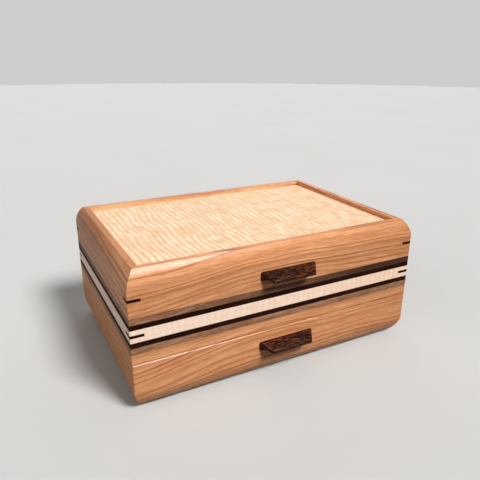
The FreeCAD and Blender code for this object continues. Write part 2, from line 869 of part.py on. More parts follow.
def lid(leaf_screws):
    """Make the lid's rails, keys, panel and pull."""
    keys = corner_keys("lid_splines", chest.lid_top - chest.lid_key_drop, chest.lid_key_leg)
    pull_z = chest.lid_top - chest.lid_pull_drop
    handle_screws = pull_screws("lid_pull_screws", pull_z - chest.pull_height / 2)
    panel_low = chest.lid_height - chest.panel_recess - chest.panel_thickness
    for side in SIDES:
        name = f"lid_{side}"
        body = mitred_board(name, side, chest.lid_z, chest.lid_height)
        round_top_edge(body, chest.lid_height)
        bevel_bottom_edge(body, chest.fine_bevel)
        groove_inner_face(body, panel_low, chest.panel_thickness)
        tools = [keys]
        if side == "back":
            hinge_mortises(body, chest.leaf_thickness, upwards=False)
            tools.append(leaf_screws)
        if side == "front":
            tools.append(handle_screws)
        keep(name, without(name, body, tools))
    tongue = chest.panel_groove - chest.panel_gap
    width = chest.inner_width + 2 * tongue
    size = (width, chest.inner_depth + 2 * tongue, chest.panel_thickness)
    corner = (-width / 2, chest.inner_front_y - tongue, chest.lid_z + panel_low)
    keep("lid_panel", box("lid_panel", size, corner))
    pull("lid_pull", pull_z, handle_screws)


# The drawer


def drawer_front():
    """Make the drawer front, grooved for the drawer bottom, and its pull."""
    pull_z = chest.foot_height + chest.drawer_front_height - chest.drawer_pull_drop
    screws = pull_screws("drawer_pull_screws", pull_z - chest.pull_height / 2)
    height = chest.drawer_front_height
    front = mitred_board("drawer_front", "front", chest.foot_height, height, chest.mitre_reveal)
    round_bottom_edge(front)
    bevel_top_edge(front, height, chest.drawer_bevel)
    reach = chest.drawer_inner_width / 2 + chest.drawer_groove
    low = chest.drawer_bottom_z - chest.foot_height
    groove = rectangle(-reach, reach, low, low + chest.drawer_bottom_thickness)
    depth = chest.drawer_groove + CUT_MARGIN
    cut_to_depth(front, "XZ_Plane", [groove], depth, chest.drawer_groove - chest.wall)
    keep("drawer_front", without("drawer_front", front, [screws]))
    pull("drawer_pull", pull_z, screws)


def drawer_side(name, side):
    """Make one drawer side, grooved for the drawer bottom."""
    body = new_body(name)
    outer = chest.drawer_width / 2
    inner = outer - chest.drawer_wall
    section = rectangle(side * inner, side * outer, 0, chest.drawer_side_height)
    pad(body, "XZ_Plane", section, chest.drawer_depth)
    groove = rectangle(
        side * (inner - CUT_MARGIN),
        side * (inner + chest.drawer_groove),
        chest.drawer_bottom_rise,
        chest.drawer_bottom_rise + chest.drawer_bottom_thickness,
    )
    cut_through(body, "XZ_Plane", [groove])
    place(body, 0, chest.inner_front_y + chest.drawer_depth, chest.drawer_z)
    keep(name, body)


def drawer_back():
    """Make the drawer back, which stands taller and meets the stop."""
    body = new_body("drawer_back")
    section = rectangle(0, chest.drawer_wall, 0, chest.drawer_back_height)
    pad(body, "YZ_Plane", section, chest.drawer_inner_width, both_ways=True)
    groove = rectangle(
        -CUT_MARGIN,
        chest.drawer_groove,
        chest.drawer_bottom_rise,
        chest.drawer_bottom_rise + chest.drawer_bottom_thickness,
    )
    cut_through(body, "YZ_Plane", [groove])
    place(body, 0, chest.inner_front_y + chest.drawer_inner_depth, chest.drawer_z)
    keep("drawer_back", body)


def drawer_bottom():
    """Make the drawer bottom, which slides into the grooves all round."""
    tongue = chest.drawer_groove - chest.panel_gap
    width = chest.drawer_inner_width + 2 * tongue
    depth = chest.drawer_inner_depth + 2 * tongue
    size = (width, depth, chest.drawer_bottom_thickness)
    corner = (-width / 2, chest.inner_front_y - tongue, chest.drawer_bottom_z)
    keep("drawer_bottom", box("drawer_bottom", size, corner))


def drawer_dividers():
    """Stand three dividers in the drawer."""
    size = (chest.drawer_divider_thickness, chest.drawer_divider_height, chest.drawer_divider_z)
    half_cell = chest.drawer_cell_width / 2
    front = chest.inner_front_y
    back = front + chest.drawer_inner_depth
    left_x = -half_cell - chest.drawer_divider_thickness
    divider_along("drawer_divider_left", left_x, front, back, size)
    divider_along("drawer_divider_right", half_cell, front, back, size)
    middle_y = (front + back - chest.drawer_divider_thickness) / 2
    divider_across("drawer_divider_middle", -half_cell, half_cell, middle_y, size)


def drawer():
    """Make the whole drawer."""
    drawer_front()
    drawer_side("drawer_side_left", -1)
    drawer_side("drawer_side_right", 1)
    drawer_back()
    drawer_bottom()
    lining(
        "drawer_lining",
        chest.drawer_inner_width,
        chest.drawer_inner_depth,
        chest.drawer_lining_z,
    )
    drawer_dividers()


# Finishing


def check_document():
    """Stop if anything failed, or if a cut took nothing away."""
    for thing in document.Objects:
        if "Invalid" in thing.State or "Error" in thing.State:
            raise RuntimeError(f"{thing.Name} failed: {thing.State}")
        if thing.TypeId == "PartDesign::Pocket":
            volume_before = thing.BaseFeature.Shape.Volume
            if thing.Shape.Volume > volume_before - VOLUME_TOLERANCE:
                raise RuntimeError(f"{thing.Name} cuts nothing")
    for name, piece in nodes.items():
        if piece.Shape.isNull() or not piece.Shape.isValid():
            raise RuntimeError(f"{name} has no valid shape")


def export_nodes():
    """Write each node's shape to its own file."""
    os.makedirs("parts", exist_ok=True)
    for name, piece in nodes.items():
        piece.Shape.exportStep(f"parts/{name}.step")


def build():
    """Build the whole chest."""
    lower_screws = hinge_screws("hinge_screws_lower", chest.rim_top, 0)
    upper_screws = hinge_screws("hinge_screws_upper", chest.lid_z, 180)
    lower_boards()
    banding(lower_screws)
    rim(lower_screws)
    case_panels()
    compartment()
    drawer_carriers()
    foot_pads()
    lid(upper_screws)
    drawer()
    hinge("left", -1, lower_screws, upper_screws)
    hinge("right", 1, lower_screws, upper_screws)
    document.recompute()
    check_document()
    export_nodes()
    print(f"{len(nodes)} nodes written")


build()
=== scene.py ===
"""Looks of the jewelry chest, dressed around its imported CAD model.

Metres, in the CAD frame: +X is the chest's right, -Y its front, +Z up, and
the origin lies on the table under the middle of the chest.
"""

import logging
import math
from dataclasses import dataclass, field, replace
from enum import Enum

import bmesh
import bpy
from mathutils import Matrix, Vector, noise


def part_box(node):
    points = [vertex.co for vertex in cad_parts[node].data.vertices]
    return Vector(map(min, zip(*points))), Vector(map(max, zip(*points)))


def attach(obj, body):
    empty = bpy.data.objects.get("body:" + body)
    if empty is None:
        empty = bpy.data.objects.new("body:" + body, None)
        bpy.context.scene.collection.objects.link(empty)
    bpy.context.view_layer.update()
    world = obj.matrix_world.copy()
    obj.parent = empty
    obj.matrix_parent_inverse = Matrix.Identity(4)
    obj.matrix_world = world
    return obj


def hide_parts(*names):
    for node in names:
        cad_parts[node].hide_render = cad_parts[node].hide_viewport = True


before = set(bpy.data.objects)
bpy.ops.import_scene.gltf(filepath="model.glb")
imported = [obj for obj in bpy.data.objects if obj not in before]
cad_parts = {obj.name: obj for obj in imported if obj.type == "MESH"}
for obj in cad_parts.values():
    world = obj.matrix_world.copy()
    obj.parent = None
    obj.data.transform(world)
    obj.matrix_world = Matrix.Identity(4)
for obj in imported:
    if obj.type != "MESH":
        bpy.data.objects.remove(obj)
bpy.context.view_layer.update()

logging.basicConfig(level=logging.INFO, format="%(message)s")
LOG = logging.getLogger("jewelry_chest")

MM = 0.001

Socket = bpy.types.NodeSocket
Node = bpy.types.Node
Tree = bpy.types.NodeTree
Value = Socket | Node | float | tuple[float, ...]
Shape = bmesh.types.BMesh
Vert = bmesh.types.BMVert
Edge = bmesh.types.BMEdge
Face = bmesh.types.BMFace


# Colour and nodes


def linear(hex_colour: str) -> tuple[float, float, float, float]:
    """Turn an sRGB hex colour to linear light, by the curve of the sRGB standard.

    Args:
        hex_colour: six hex digits, with or without a leading hash.

    Returns:
        Red, green, blue and an alpha of 1.
    """
    digits = hex_colour.lstrip("#")
    channels = []
    for start in (0, 2, 4):
        value = int(digits[start : start + 2], 16) / 255
        if value <= 0.04045:
            channels.append(value / 12.92)
        else:
            channels.append(((value + 0.055) / 1.055) ** 2.4)
    return channels[0], channels[1], channels[2], 1.0


def add(tree: Tree, kind: str, settings: dict[str, object], inputs: dict[str | int, Value]) -> Node:
    """Add a node with its settings and links.

    Args:
        tree: the node tree.
        kind: the node's type, without the leading ShaderNode.
        settings: properties of the node itself.
        inputs: constants, sockets or nodes by the name or number of the input.

    Returns:
        The new node.
    """
    node = tree.nodes.new("ShaderNode" + kind)
    for name, value in settings.items():
        setattr(node, name, value)
    for key, value in inputs.items():
        socket = node.inputs[key]
        if isinstance(value, bpy.types.Node):
            value = value.outputs[0]
        if isinstance(value, bpy.types.NodeSocket):
            tree.links.new(value, socket)
        else:
            socket.default_value = value
    return node


def calc(tree: Tree, operation: str, *values: Value) -> Node:
    """Add a Math node.

    Args:
        tree: the node tree.
        operation: what the node does, such as ADD.
        values: its inputs, one to three.

    Returns:
        The new node.
    """
    return add(tree, "Math", {"operation": operation}, dict(enumerate(values)))


def spread(
    tree: Tree,
    value: Value,
    source: tuple[float, float] = (0.0, 1.0),
    target: tuple[float, float] = (0.0, 1.0),
) -> Node:
    """Map one range of values to another, and hold what lies beyond at its ends.

    Args:
        tree: the node tree.
        value: what is mapped.
        source: the range that it comes in.
        target: the range that it is mapped to.

    Returns:
        The new node.
    """
    limits = {1: source[0], 2: source[1], 3: target[0], 4: target[1]}
    return add(tree, "MapRange", {}, {0: value, **limits})


def choose(tree: Tree, share: Value, first: Value, second: Value) -> Node:
    """Add a node that mixes two numbers, by the second one's share from 0 to 1."""
    return add(tree, "Mix", {"data_type": "FLOAT"}, {0: share, 2: first, 3: second})


def blend(tree: Tree, share: Value, first: Value, second: Value) -> Socket:
    """Mix two colours by the second one's share, from 0 to 1, and return the result."""
    mix = add(tree, "Mix", {"data_type": "RGBA"}, {0: share, 6: first, 7: second})
    return mix.outputs[2]


def clouds(tree: Tree, place: Value, scale: float, detail: float) -> Node:
    """Add noise whose scale is the number of clouds in one unit of length."""
    return add(tree, "TexNoise", {}, {"Vector": place, "Scale": scale, "Detail": detail})


def object_place(tree: Tree) -> Socket:
    """Return the place on the object, in metres."""
    return add(tree, "TexCoord", {}, {}).outputs["Object"]


def bumped(tree: Tree, height: Value, strength: float, depth_mm: float) -> Node:
    """Raise a surface by a height from 0 to 1.

    Args:
        tree: the node tree.
        height: the height.
        strength: the share of the effect.
        depth_mm: what a height of 1 stands for, in millimetres.

    Returns:
        The node that gives the normal.
    """
    inputs = {"Strength": strength, "Distance": depth_mm * MM, "Height": height}
    return add(tree, "Bump", {}, inputs)


def new_material(name: str) -> tuple[bpy.types.Material, Tree]:
    """Start an empty node material.

    Args:
        name: the material's name.

    Returns:
        The material and its node tree.
    """
    material = bpy.data.materials.new(name)
    material.use_nodes = True
    material.node_tree.nodes.clear()
    return material, material.node_tree


def close_material(tree: Tree, shader: Node) -> None:
    """Link a shader to the material's output."""
    add(tree, "OutputMaterial", {}, {"Surface": shader})


# Woods


class Grain(Enum):
    """Which way the grain of a board runs, and which way its broad face looks."""

    ALONG_X = "along the width of the chest, on an upright board"
    ALONG_Y = "along the depth of the chest, on an upright board"
    ALONG_X_FLAT = "along the width of the chest, on a board that lies flat"
    ROUND_THE_CASE = "along each of the four sides, on strips that go round the case"


@dataclass(frozen=True)
class Cut:
    """How a board was sawn from its tree. Lengths are in millimetres.

    The pith is the middle of the tree: a distance across the board, and one up
    it. Slope is how far the grain rises over each millimetre at the middle of
    the board, and bow is what that loses over each millimetre to the right or
    the back. Seed moves the board along the tree. The last range is where along
    the board its wood starts and ends passing from pale to dark. On most boards
    this is the darker heartwood. On the left boards it is painted shade, which
    darkens the shaded left side towards the back.
    """

    grain: Grain
    pith: tuple[float, float]
    slope: float = 0.0
    seed: float = 0.0
    bow: float = 0.0
    heart_and_shade: tuple[float, float] | None = None


@dataclass(frozen=True)
class Curl:
    """The ripples of curly wood, which cross its grain. Lengths are in millimetres.

    Reach is how long a ripple is and waver how far it strays from a straight
    line. Loose is the share of the figure that has no even spacing.
    """

    spacing: float
    reach: float
    strength: float
    sharpness: float
    waver: float
    loose: float
    colour: str


# How the marks of wood are drawn. A stretch is a mark's length over its width,
# limits are the noise values that become 0 and 1, and lengths are in millimetres.
STREAK_STRETCH, STREAK_LIMITS = 26, (0.44, 0.62)
PORE_STRETCH, PORE_LIMITS = 10, (0.54, 0.64)
PATCH_STRETCH = 10
SWAY_LENGTH, SWAY_WIDTH, SWAY_LIMITS = 190.0, 60.0, (0.3, 0.7)
FADE_LENGTH, FADE_WIDTH, FADE_LIMITS = 130.0, 9.0, (0.3, 0.6)
# The rings: noise over their number makes them uneven, a line ends at this share
# of its ring, and the weakest line and the weakest stretch have these strengths.
YEAR_SCALE, YEAR_SPREAD = 0.45, 2.4
LINE_END, LINE_LEAST, FADE_LEAST = 0.95, 0.35, 0.5
# The ripples: how many spacings the slow and the quick waver move them by, the
# limits of the noises, and how much shows where the figure is weakest.
SLOW_WAVER, QUICK_WAVER, WAVER_LIMITS = 2.0, 0.55, (0.2, 0.8)
LOOSE_LIMITS, FIGURE_LIMITS, FIGURE_LEAST = (0.3, 0.7), (0.34, 0.58), 0.25
# How strongly and how deep the open pores sink, and how much rougher a streak is.
PORE_BUMP, PORE_DEPTH, STREAK_ROUGHNESS = 0.06, 0.2, 0.1


@dataclass(frozen=True)
class Wood:
    """A wood and its oil finish. Lengths are in millimetres.

    Base and pale are the colours of the ground, and a third colour is the one
    that it passes to where a cut asks for it. This is the darker heartwood, and on
    the left cherry boards it is painted shade. Band is the width of the pale patches,
    and pale_limits are the noise values at which they start and are full. Ring
    is the distance between latewood lines, line their colour, and line_from
    the share of a ring that is clear of them. Bend is how far the grain sways.
    Streak and pore are the widths of the fine marks, whose colour is dark.
    Each strength is the share of its own colour at the heart of a mark.
    """

    name: str
    base: str
    pale: str
    line: str
    dark: str
    band: float
    ring: float
    line_strength: float
    bend: float
    streak: float
    streak_strength: float
    pore_strength: float
    roughness: float
    specular: float
    line_from: float = 0.4
    pore: float = 0.8
    coat: float = 0.0
    coat_roughness: float = 0.3
    pale_strength: float = 1.0
    pale_limits: tuple[float, float] = (0.35, 0.65)
    heart_and_shade: str = "#000000"
    curl: Curl | None = None

    def material(self, label: str, cut: Cut) -> bpy.types.Material:
        """Build the wood for one board.

        Args:
            label: what the board is, for the material's name.
            cut: how it was sawn.

        Returns:
            The material.
        """
        material, tree = new_material(f"{self.name}_{label}")
        axes = self.board_axes(tree, cut)
        lines = self.latewood(tree, axes)
        streaks = self.stretched(
            tree, axes, self.streak * STREAK_STRETCH, self.streak, 2.0, STREAK_LIMITS
        )
        pores = self.stretched(tree, axes, self.pore * PORE_STRETCH, self.pore, 0.0, PORE_LIMITS)
        patches = self.stretched(
            tree, axes, self.band * PATCH_STRETCH, self.band, 2.0, self.pale_limits
        )
        colour = self.mixed(tree, patches, self.pale_strength, linear(self.base), linear(self.pale))
        # Pass to the darker heartwood colour along the board. On the left cherry boards this is
        # painted shade, darker towards the back of the shaded left side.
        if cut.heart_and_shade:
            start, end = cut.heart_and_shade
            along = spread(tree, axes[0], (start + cut.seed, end + cut.seed))
            colour = self.mixed(tree, along, 1.0, colour, linear(self.heart_and_shade))
        if self.curl:
            ripples = self.ripples(tree, axes, self.curl)
            colour = self.mixed(tree, ripples, self.curl.strength, colour, linear(self.curl.colour))
        colour = self.mixed(tree, lines, self.line_strength, colour, linear(self.line))
        colour = self.mixed(tree, streaks, self.streak_strength, colour, linear(self.dark))
        colour = self.mixed(tree, pores, self.pore_strength, colour, linear(self.dark))
        bump = bumped(tree, calc(tree, "ADD", pores, streaks), PORE_BUMP, PORE_DEPTH)
        bump.invert = True
        limits = (self.roughness, self.roughness + STREAK_ROUGHNESS)
        shader = add(
            tree,
            "BsdfPrincipled",
            {},
            {
                "Base Color": colour,
                "Roughness": spread(tree, streaks, target=limits),
                "IOR": 1.5,
                "Specular IOR Level": self.specular,
                "Coat Weight": self.coat,
                "Coat Roughness": self.coat_roughness,
                "Normal": bump,
            },
        )
        close_material(tree, shader)
        return material

    def board_axes(self, tree: Tree, cut: Cut) -> list[Node]:
        """Measure the place on a board by its grain, which sways, slopes and bows.

        Args:
            tree: the node tree.
            cut: how the board was sawn.

        Returns:
            The distances along, across and up the tree, in millimetres.
        """
        x, y, z = add(tree, "SeparateXYZ", {}, {0: object_place(tree)}).outputs
        along: Socket | Node = x
        across: Socket | Node = y
        up: Socket | Node = z
        if cut.grain is Grain.ALONG_Y:
            along, across = y, x
        elif cut.grain is Grain.ALONG_X_FLAT:
            across, up = z, y
        elif cut.grain is Grain.ROUND_THE_CASE:
            on_front = self.front_or_back(tree, x, y)
            along = choose(tree, on_front, y, x)
            across = choose(tree, on_front, x, y)
        axes = []
        for axis, start in ((along, 0.0), (across, -cut.pith[0]), (up, -cut.pith[1])):
            axes.append(calc(tree, "MULTIPLY_ADD", axis, 1 / MM, start))
        shifted = calc(tree, "ADD", axes[0], cut.seed)
        sway = self.stretched(
            tree, [shifted, *axes[1:]], SWAY_LENGTH, SWAY_WIDTH, 1.0, SWAY_LIMITS
        )
        lift = calc(tree, "MULTIPLY_ADD", sway, self.bend, axes[2])
        pitch = calc(tree, "MULTIPLY_ADD", axes[0], cut.bow / 2, -cut.slope)
        rise = calc(tree, "MULTIPLY_ADD", axes[0], pitch, lift)
        return [shifted, axes[1], rise]

    def front_or_back(self, tree: Tree, x: Socket, y: Socket) -> Node:
        """Tell the strips on the front and back from those on the sides.

        Args:
            tree: the node tree.
            x: the place to the right.
            y: the place to the back.

        Returns:
            The node that is 1 on the front and back and 0 on the sides.
        """
        low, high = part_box("walnut_upper")
        middle = (low.y + high.y) / 2
        far_x = calc(tree, "ABSOLUTE", x)
        far_y = calc(tree, "ABSOLUTE", calc(tree, "SUBTRACT", y, middle))
        mitre = high.y - middle - high.x
        return calc(tree, "GREATER_THAN", calc(tree, "SUBTRACT", far_y, far_x), mitre)

    def stretched(
        self,
        tree: Tree,
        axes: list[Node],
        length: float,
        width: float,
        detail: float,
        limits: tuple[float, float],
    ) -> Node:
        """Draw noise out along the grain.

        Args:
            tree: the node tree.
            axes: the distances along, across and up the board.
            length: a mark's length, in millimetres.
            width: a mark's width, in millimetres.
            detail: the noise's detail.
            limits: the noise values that become 0 and 1.

        Returns:
            The node whose output runs from 0 to 1.
        """
        scaled = []
        for axis, size in zip(axes, (length, width, width)):
            scaled.append(calc(tree, "DIVIDE", axis, size))
        place = add(tree, "CombineXYZ", {}, dict(enumerate(scaled)))
        return spread(tree, clouds(tree, place, 1.0, detail), limits)

    def latewood(self, tree: Tree, axes: list[Node]) -> Node:
        """Draw the dark latewood lines, soft on one side and sharp on the other.

        Args:
            tree: the node tree.
            axes: the distances along, across and up the board.

        Returns:
            The node whose output runs from 0 to 1 at the heart of a line.
        """
        spot = add(tree, "CombineXYZ", {}, {0: axes[1], 1: axes[2]})
        radius = add(tree, "VectorMath", {"operation": "LENGTH"}, {0: spot}).outputs["Value"]
        rings = calc(tree, "DIVIDE", radius, self.ring)
        years = add(
            tree,
            "TexNoise",
            {"noise_dimensions": "1D"},
            {"W": rings, "Scale": YEAR_SCALE, "Detail": 1.0},
        )
        uneven = calc(tree, "MULTIPLY_ADD", years, YEAR_SPREAD, rings)
        phase = calc(tree, "FRACT", uneven)
        line = spread(tree, phase, (self.line_from, LINE_END))
        line.interpolation_type = "SMOOTHSTEP"
        year = calc(tree, "FLOOR", uneven)
        weight = add(tree, "TexWhiteNoise", {"noise_dimensions": "1D"}, {"W": year})
        darker = spread(tree, weight.outputs["Value"], target=(LINE_LEAST, 1.0))
        stretches = self.stretched(tree, axes, FADE_LENGTH, FADE_WIDTH, 1.0, FADE_LIMITS)
        fade = spread(tree, stretches, target=(FADE_LEAST, 1.0))
        return calc(tree, "MULTIPLY", calc(tree, "MULTIPLY", line, darker), fade)

    def ripples(self, tree: Tree, axes: list[Node], curl: Curl) -> Node:
        """Draw the ripples of curly wood.

        Args:
            tree: the node tree.
            axes: the distances along, across and up the board.
            curl: how the ripples run.

        Returns:
            The node whose output is 0 between them and up to 1 on their crests.
        """
        step, reach = curl.spacing, curl.reach
        slow = self.stretched(tree, axes, step * 9, reach * 3.0, 1.0, WAVER_LIMITS)
        quick = self.stretched(tree, axes, step * 1.6, reach * 0.6, 1.0, WAVER_LIMITS)
        moved = calc(tree, "DIVIDE", axes[0], step)
        moved = calc(tree, "MULTIPLY_ADD", slow, SLOW_WAVER * curl.waver, moved)
        moved = calc(tree, "MULTIPLY_ADD", quick, QUICK_WAVER * curl.waver, moved)
        wave = calc(tree, "SINE", calc(tree, "MULTIPLY", moved, 2 * math.pi))
        crest = calc(tree, "POWER", spread(tree, wave, (-1.0, 1.0)), curl.sharpness)
        uneven = self.stretched(tree, axes, step * 0.6, reach, 1.0, LOOSE_LIMITS)
        crest = choose(tree, curl.loose, crest, uneven)
        figure = self.stretched(tree, axes, step * 2, reach * 0.8, 2.0, FIGURE_LIMITS)
        return calc(tree, "MULTIPLY", crest, spread(tree, figure, target=(FIGURE_LEAST, 1.0)))

    def mixed(
        self, tree: Tree, mask: Node, strength: float, first: Value, second: Value
    ) -> Socket:
        """Mix two colours, the second one's share being its strength times the mask."""
        return blend(tree, calc(tree, "MULTIPLY", mask, strength), first, second)


# Oiled cherry: warm orange tan with latewood lines a few millimetres apart and
# short fine pores, under a satin film that gives a soft near-white highlight.
CHERRY = Wood(
    name="cherry_oiled",
    base="#DE9768",
    pale="#EDB182",
    line="#955830",
    dark="#9C6034",
    band=8.0,
    ring=6.6,
    line_strength=0.9,
    line_from=0.35,
    bend=10.0,
    streak=0.85,
    streak_strength=0.42,
    pore_strength=0.16,
    roughness=0.42,
    specular=0.03,
    coat=0.16,
    coat_roughness=0.14,
    pale_strength=0.6,
    # The darker heartwood tone, which also paints the shade on the left boards.
    heart_and_shade="#B87A50",
)
# The same cherry painted paler: a lit copy that stands in for the light falling on
# the lid's back rail, which looks paler. It dresses all the back boards.
CHERRY_PAINTED_LIGHT = replace(CHERRY, name="cherry_painted_light_oiled", base="#EBB083", pale="#F2C096")
# Oiled walnut: grey brown with darker streaks and open pores.
WALNUT = Wood(
    name="walnut_oiled",
    base="#A67354",
    pale="#BD906E",
    line="#4A2C1A",
    dark="#4A2B1A",
    band=6.0,
    ring=4.0,
    line_strength=0.5,
    bend=14.0,
    streak=0.8,
    streak_strength=0.55,
    pore_strength=0.4,
    roughness=0.5,
    specular=0.07,
    coat=0.06,
    coat_roughness=0.25,
    heart_and_shade="#3E2518",
)
# Oiled wenge: near-black brown with slightly paler patches and darker lines.
WENGE = Wood(
    name="wenge_oiled",
    base="#220D08",
    pale="#331710",
    line="#130704",
    dark="#150906",
    band=4.0,
    ring=1.6,
    line_strength=0.6,
    bend=4.0,
    streak=1.0,
    streak_strength=0.5,
    pore_strength=0.4,
    roughness=0.6,
    specular=0.03,
)
# Curly maple of the band: pinkish cream with pale upright ripples.
MAPLE_BAND = Wood(
    name="curly_maple_band",
    base="#FFD8BC",
    pale="#FFDFC9",
    line="#DDB595",
    dark="#DFB797",
    band=8.0,
    ring=6.0,
    line_strength=0.15,
    bend=5.0,
    streak=1.2,
    streak_strength=0.2,
    pore=0.9,
    pore_strength=0.15,
    roughness=0.45,
    specular=0.05,
    coat=0.05,
    coat_roughness=0.2,
    curl=Curl(7.4, 24.0, 0.75, sharpness=1.3, waver=0.6, loose=0.45, colour="#FFF1DF"),
    heart_and_shade="#F6C8A2",
)
# Curly maple of the panel: cream gold with strong long ripples.
MAPLE_PANEL = Wood(
    name="curly_maple_panel",
    base="#DDAC7D",
    pale="#E2B68B",
    line="#DDB080",
    dark="#DCAE80",
    band=12.0,
    ring=12.0,
    line_strength=0.2,
    bend=20.0,
    streak=1.6,
    streak_strength=0.2,
    pore=1.0,
    pore_strength=0.12,
    roughness=0.42,
    specular=0.06,
    coat=0.06,
    coat_roughness=0.2,
    curl=Curl(7.2, 26.0, 0.95, sharpness=1.4, waver=0.7, loose=0.3, colour="#FDE8CB"),
)
# Polished rosewood of the pulls: very dark brown with orange streaks.
ROSEWOOD = Wood(
    name="rosewood_polished",
    base="#190A06",
    pale="#9A4C22",
    line="#100503",
    dark="#120604",
    band=0.8,
    ring=1.7,
    line_strength=0.85,
    line_from=0.3,
    bend=3.0,
    streak=0.6,
    streak_strength=0.6,
    pore_strength=0.3,
    roughness=0.25,
    specular=0.02,
    coat=0.11,
    coat_roughness=0.07,
    pale_limits=(0.5, 0.64),
)
# Sanded birch plywood of the panels and the drawer bottom.
BIRCH = Wood(
    name="birch_sanded",
    base="#D8BC93",
    pale="#E4CCA8",
    line="#B28D60",
    dark="#B8966A",
    band=12.0,
    ring=9.0,
    line_strength=0.4,
    bend=30.0,
    streak=1.6,
    streak_strength=0.3,
    pore=0.9,
    pore_strength=0.25,
    roughness=0.6,
    specular=0.25,
)
# Plain maple of the drawer box, the dividers and the runners.
MAPLE_PLAIN = Wood(
    name="maple_plain",
    base="#E4C7A0",
    pale="#EED6B4",
    line="#C9A379",
    dark="#CBA67C",
    band=9.0,
    ring=5.5,
    line_strength=0.4,
    bend=12.0,
    streak=1.3,
    streak_strength=0.3,
    pore_strength=0.2,
    roughness=0.5,
    specular=0.25,
    coat=0.05,
)


@dataclass(frozen=True)
class Suede:
    """Brushed suede: a matte nap whose shade changes with the brush strokes."""

    name: str
    base: str
    pale: str
    nap_mm: float
    stroke_mm: float
    stroke_limits: tuple[float, float] = (0.12, 0.4)

    def material(self) -> bpy.types.Material:
        """Build the suede as a material."""
        material, tree = new_material(self.name)
        place = object_place(tree)
        nap = clouds(tree, place, 1 / (self.nap_mm * MM), 3.0)
        strokes = clouds(tree, place, 1 / (self.stroke_mm * MM), 2.0)
        share = spread(tree, calc(tree, "MULTIPLY", nap, strokes), self.stroke_limits)
        shader = add(
            tree,
            "BsdfPrincipled",
            {},
            {
                "Base Color": blend(tree, share, linear(self.base), linear(self.pale)),
                "Roughness": 0.95,
                "IOR": 1.45,
                "Specular IOR Level": 0.2,
                "Sheen Weight": 0.25,
                "Sheen Roughness": 0.5,
                "Sheen Tint": linear(self.pale),
                "Normal": bumped(tree, nap, 0.5, 0.3),
            },
        )
        close_material(tree, shader)
        return material


@dataclass(frozen=True)
class Metal:
    """A satin metal with fine scratches rubbed along X and duller patches."""

    name: str
    base: str
    dull: str
    roughness: float
    scratch_mm: float
    rubbing: tuple[float, float, float] = (0.05, 1.0, 1.0)
    patches_per_metre: float = 90.0
    patch_limits: tuple[float, float] = (0.4, 0.7)

    def material(self) -> bpy.types.Material:
        """Build the metal as a material."""
        material, tree = new_material(self.name)
        place = object_place(tree)
        rubbed = add(tree, "Mapping", {}, {"Vector": place, "Scale": self.rubbing})
        scratches = clouds(tree, rubbed, 1 / (self.scratch_mm * MM), 4.0)
        patches = clouds(tree, place, self.patches_per_metre, 3.0)
        tarnish = spread(tree, patches, self.patch_limits)
        limits = (self.roughness - 0.06, self.roughness + 0.12)
        shader = add(
            tree,
            "BsdfPrincipled",
            {},
            {
                "Base Color": blend(tree, tarnish, linear(self.base), linear(self.dull)),
                "Metallic": 1.0,
                "Roughness": spread(tree, scratches, target=limits),
                "Normal": bumped(tree, scratches, 0.06, 0.1),
            },
        )
        close_material(tree, shader)
        return material


@dataclass(frozen=True)
class Rubber:
    """Moulded rubber: matte, near black, with a fine grain."""

    name: str
    base: str
    pale: str
    grains_per_metre: float = 1500.0

    def material(self) -> bpy.types.Material:
        """Build the rubber as a material."""
        material, tree = new_material(self.name)
        grain = clouds(tree, object_place(tree), self.grains_per_metre, 2.0)
        shader = add(
            tree,
            "BsdfPrincipled",
            {},
            {
                "Base Color": blend(tree, grain, linear(self.base), linear(self.pale)),
                "Roughness": 0.7,
                "IOR": 1.5,
                "Normal": bumped(tree, grain, 0.2, 0.1),
            },
        )
        close_material(tree, shader)
        return material


# Dark brown suede of the linings, matt with paler strokes; satin brass of the
# hinges, dulled in patches; bright zinc of the pull screws; near-black rubber feet.
SUEDE = Suede("suede_brushed", base="#3A2620", pale="#6B4A3C", nap_mm=0.9, stroke_mm=22.0)
BRASS = Metal("brass_satin", base="#C7A052", dull="#97783A", roughness=0.45, scratch_mm=0.5)
STEEL = Metal("steel_zinc_plated", base="#C9C9C6", dull="#A8A8A6", roughness=0.32, scratch_mm=0.4)
RUBBER = Rubber("rubber_moulded", base="#1B1918", pale="#2C2927")


def dress(node: str, material: bpy.types.Material) -> None:
    """Give a CAD node its finish.

    Args:
        node: the node's name.
        material: the finish.
    """
    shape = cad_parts[node].data
    shape.materials.clear()
    shape.materials.append(material)
    LOG.info("dressed %s in %s", node, material.name)


def dress_cherry(boards: dict[str, Cut]) -> None:
    """Give boards their cherry, with painted light on the back ones: a paler, lit copy.

    Args:
        boards: how each was sawn, by its node's name.
    """
    for node, cut in boards.items():
        # The back boards take the paler copy, which is painted light.
        wood = CHERRY_PAINTED_LIGHT if "back" in node else CHERRY
        dress(node, wood.material(node, cut))


def of_kind(items: list[object], kind: type) -> list[object]:
    """Return the items of one kind, such as the vertices of what an operator made."""
    return [item for item in items if isinstance(item, kind)]


# Points closer than this are one, in metres.
MERGE_DISTANCE = 0.00001


def finish_mesh(shape: Shape, name: str, material: bpy.types.Material) -> bpy.types.Object:
    """Turn a finished bmesh into an object with one material.

    Args:
        shape: the bmesh, which is freed.
        name: the name of the piece.
        material: its finish.

    Returns:
        The object, at the origin.
    """
    bmesh.ops.remove_doubles(shape, verts=shape.verts, dist=MERGE_DISTANCE)
    bmesh.ops.recalc_face_normals(shape, faces=shape.faces)
    mesh = bpy.data.meshes.new(name)
    shape.to_mesh(mesh)
    shape.free()
    mesh.polygons.foreach_set("use_smooth", [True] * len(mesh.polygons))
    mesh.materials.append(material)
    piece = bpy.data.objects.new(name, mesh)
    bpy.context.scene.collection.objects.link(piece)
    return piece


# Sub-assemblies

